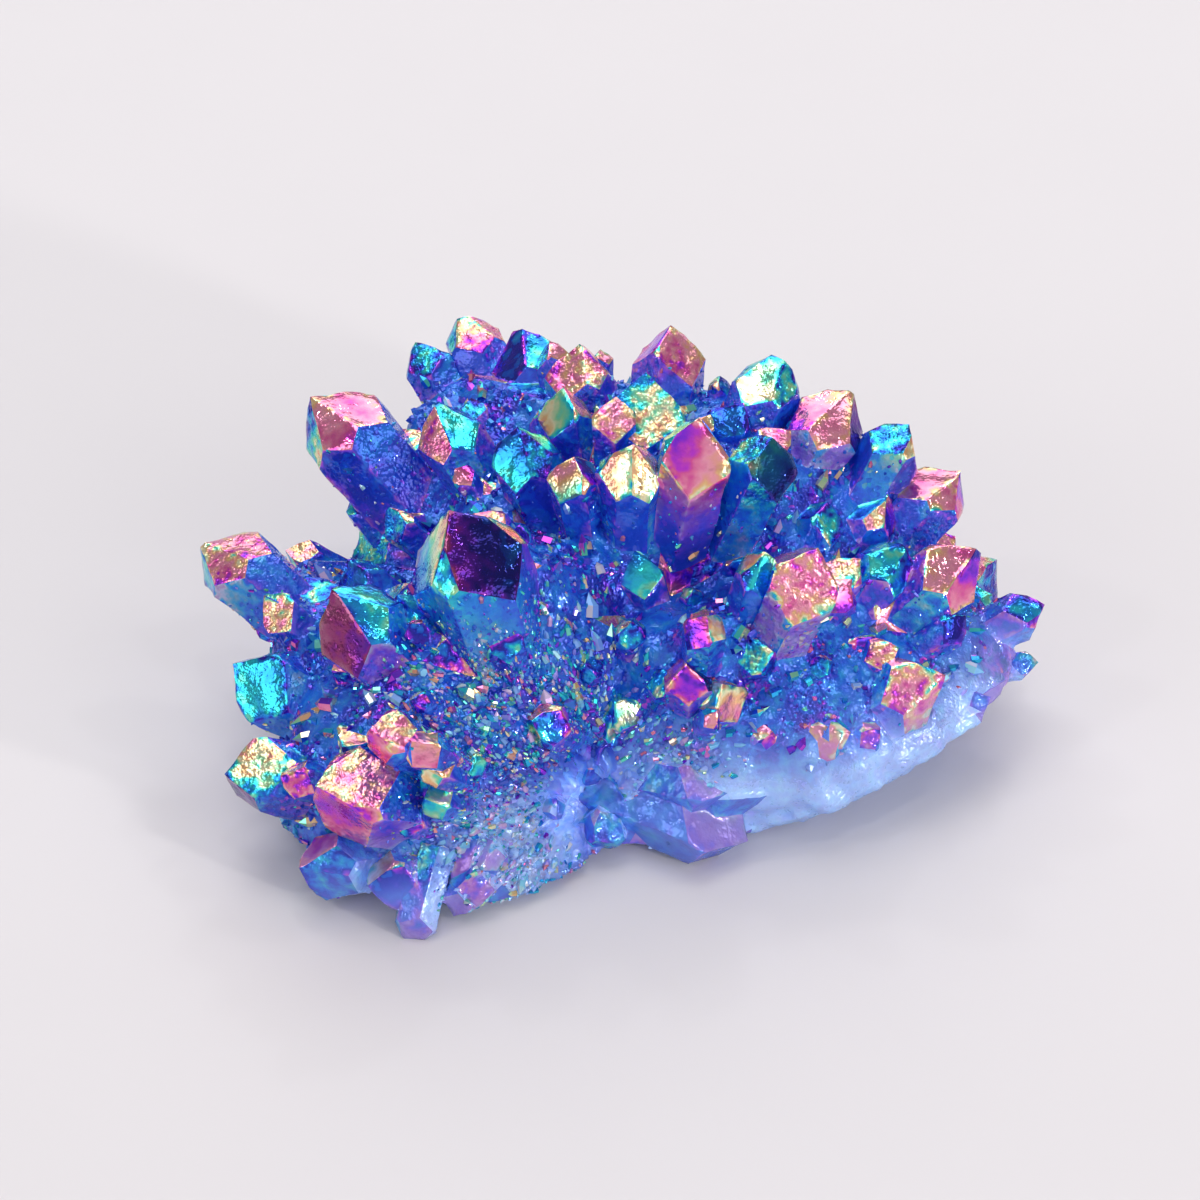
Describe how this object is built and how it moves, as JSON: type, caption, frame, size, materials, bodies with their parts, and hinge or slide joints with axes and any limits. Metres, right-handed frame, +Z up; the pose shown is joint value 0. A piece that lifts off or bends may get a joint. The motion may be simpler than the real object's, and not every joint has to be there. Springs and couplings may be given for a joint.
{
  "type": "aura quartz cluster",
  "caption": "Cluster of coated quartz crystals spreading in sprays from one lumpy foot, with six-sided points and a broken wall at the front; an ornament that stands on a flat surface.",
  "frame": {"origin": "on the table, under the middle of the cluster's box", "axes": "+X along the cluster's length, to the right of someone who faces its broken wall; -Y towards them; +Z up"},
  "size_m": [0.0776, 0.0588, 0.0341],
  "materials": {
    "coated_quartz": "iridescent metal coating, blue body with pink, teal, violet and gold tip faces, over milky quartz"
  },
  "bodies": {
    "root": {"quartz_cluster": "coated_quartz"}
  },
  "joints": []
}
